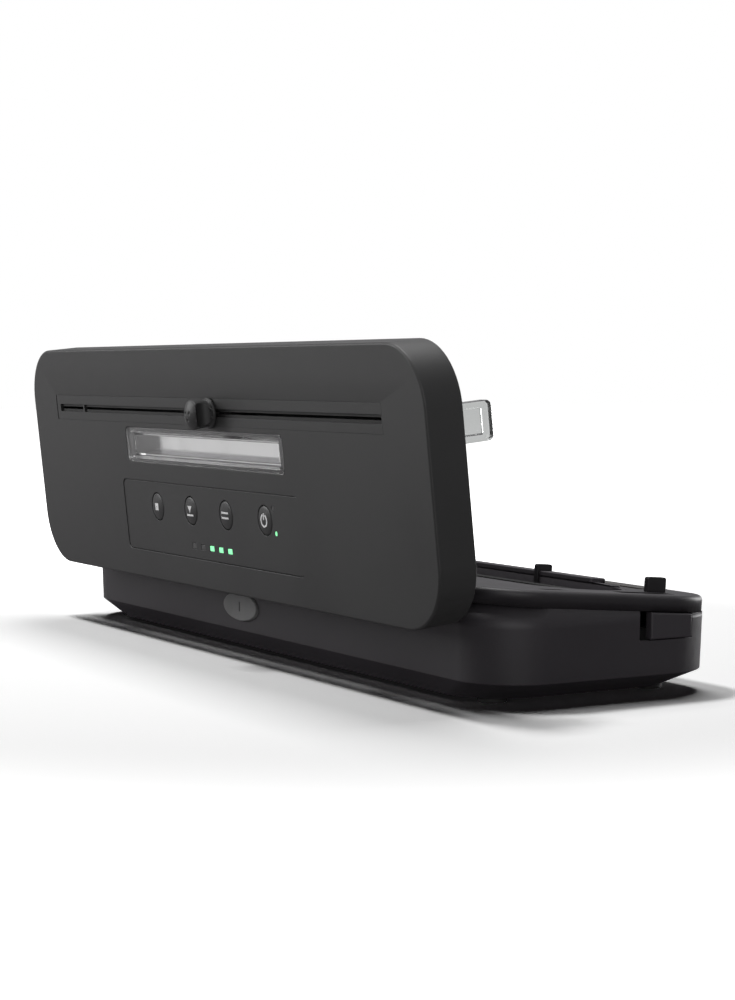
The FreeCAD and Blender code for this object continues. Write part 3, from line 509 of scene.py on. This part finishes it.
def sky():
    """White to the eye, softer through clear plastic, dim in reflections; soft boxes do the lighting."""
    world = bpy.data.worlds.new("studio")
    scene.world = world
    world.use_nodes = True
    world.cycles_visibility.diffuse = False
    tree = world.node_tree
    tree.nodes.clear()
    out = tree.nodes.new("ShaderNodeOutputWorld")
    path = tree.nodes.new("ShaderNodeLightPath")
    shades = []
    for colour, strength in (((0.98, 0.97, 1.0, 1), SKY), ((1, 1, 1, 1), SEEN_THROUGH), ((1, 1, 1, 1), 1.0)):
        shade = tree.nodes.new("ShaderNodeBackground")
        shade.inputs["Color"].default_value = colour
        shade.inputs["Strength"].default_value = strength
        shades.append(shade.outputs[0])
    result = shades[0]
    for flag, shade in (("Is Transmission Ray", shades[1]), ("Is Camera Ray", shades[2])):
        mix = tree.nodes.new("ShaderNodeMixShader")
        tree.links.new(path.outputs[flag], mix.inputs[0])
        tree.links.new(result, mix.inputs[1])
        tree.links.new(shade, mix.inputs[2])
        result = mix.outputs[0]
    tree.links.new(result, out.inputs[0])


def softbox(name, at, toward, size, power, only=None, blockers=None):
    data = bpy.data.lights.new(name, "AREA")
    data.shape = "RECTANGLE"
    data.size, data.size_y = size
    data.energy = power
    obj = bpy.data.objects.new(name, data)
    scene.collection.objects.link(obj)
    obj.location = at
    obj.rotation_mode = "QUATERNION"
    obj.rotation_quaternion = (Vector(toward) - Vector(at)).to_track_quat("-Z", "Y")
    if only:
        obj.light_linking.receiver_collection = only
    if blockers:
        obj.light_linking.blocker_collection = blockers
    return obj


SKY = 0.35
SEEN_THROUGH = 0.56
FLOOR_SEEN = 1.32
FLOOR_BOUNCE = 0.35

appliance = bpy.data.collections.new("appliance")
for obj in list(scene.objects):
    if obj.type == "MESH":
        appliance.objects.link(obj)

floor()
sky()
# No overhead light stands in line with the slot between the base's back wall and the leaning lid.
softbox("overhead", (0.35, 0.34, 1.6), (0.35, 0.34, 0), (0.28, 0.24), 12.6)
softbox("overhead_wide", (0.4, -0.29, 1.6), (0.4, -0.29, 0), (1.3, 0.54), 11)
softbox("sky_fill", (0.1, 0.0, 1.5), (0, 0, 0), (2.6, 2.2), 8, appliance)
softbox("left_fill", (1.3, 1.3, 0.7), (0.05, 0.05, 0.08), (1.0, 1.0), 18, appliance)
softbox("near_fill", (-1.4, 0.7, 0.5), (0.0, 0.0, 0.05), (1.2, 1.2), 8.5, appliance)
softbox("front_fill", (0.1, -1.5, 0.3), (0.1, 0.0, 0.06), (0.8, 0.6), 12, appliance)
softbox("floor_fill", (-0.6, 0.8, -0.9), (0.0, 0.0, 0.0), (1.5, 1.5), 5, appliance, appliance)

CAMERA_AT = (-0.8290, 0.47628 - ORIGIN_Y * MM, 0.1243)
CAMERA_YAW = math.radians(59.96)
CAMERA_PITCH = math.radians(-3.43)
LENS = 76.1
SENSOR = 36.0

camera_data = bpy.data.cameras.new("camera")
camera_data.lens = LENS
camera_data.sensor_width = SENSOR
camera_data.clip_start = 0.01
camera = bpy.data.objects.new("camera", camera_data)
scene.collection.objects.link(camera)
camera.location = CAMERA_AT
camera.rotation_mode = "QUATERNION"
level = math.cos(CAMERA_PITCH)
sight = Vector((math.sin(CAMERA_YAW) * level, -math.cos(CAMERA_YAW) * level, math.sin(CAMERA_PITCH)))
camera.rotation_quaternion = sight.to_track_quat("-Z", "Y")
scene.camera = camera
scene.view_settings.view_transform = "Standard"
